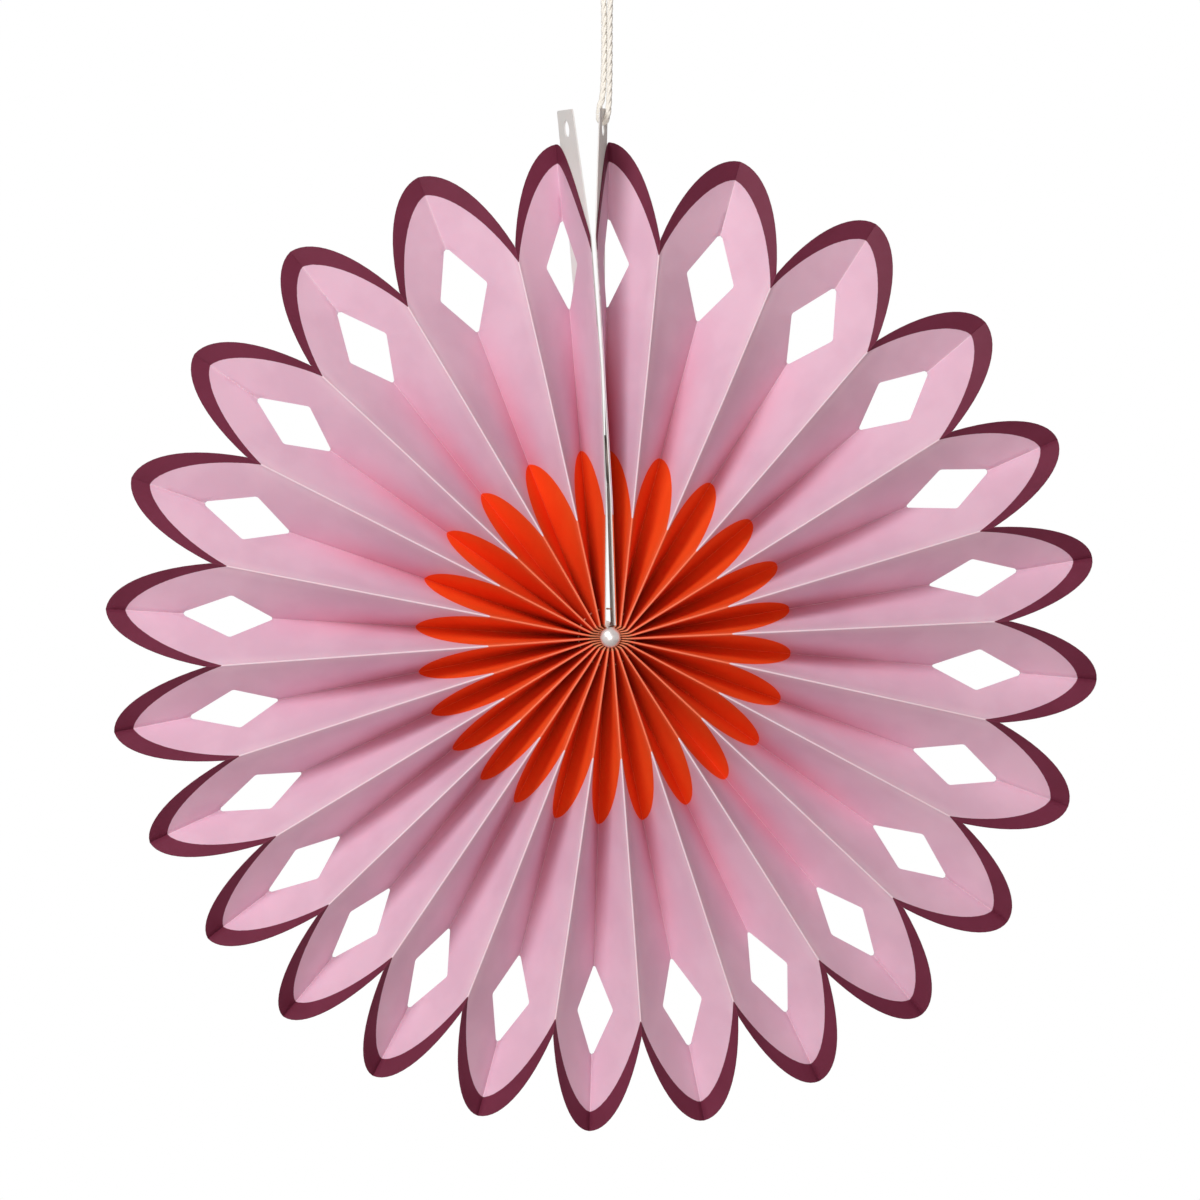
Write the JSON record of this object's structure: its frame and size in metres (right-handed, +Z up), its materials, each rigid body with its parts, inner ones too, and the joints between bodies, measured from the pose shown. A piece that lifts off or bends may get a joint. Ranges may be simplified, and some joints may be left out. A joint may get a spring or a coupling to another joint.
{
  "type": "paper fan medallion",
  "caption": "Round hanging medallion folded from one pleated, scalloped and pierced strip of printed paper, closed by two stiff end strips and hung by a looped cord.",
  "frame": {"origin": "inside the top of the cord's eye, where a hook carries it", "axes": "+Z up, +Y away from the viewer and square to the round face, +X to the viewer's right"},
  "size_m": [0.3022, 0.0243, 0.3748],
  "materials": {
    "printed_paper": "matt printed paper, pink with a wine border and red-orange middle",
    "card": "off-white matt card",
    "disc": "dark grey satin",
    "thread": "twisted thread",
    "rivet": "bright polished",
    "cord": "twisted cotton"
  },
  "bodies": {
    "root": {"pleated_sheet": "printed_paper", "end_strip_left": "card", "end_strip_right": "card", "closure_disc_left": "disc", "closure_disc_right": "disc", "binding_thread": "thread", "hub_rivet": "rivet", "hub_washer": "rivet", "hanging_cord": "cord", "cord_knot": "cord"}
  },
  "joints": []
}
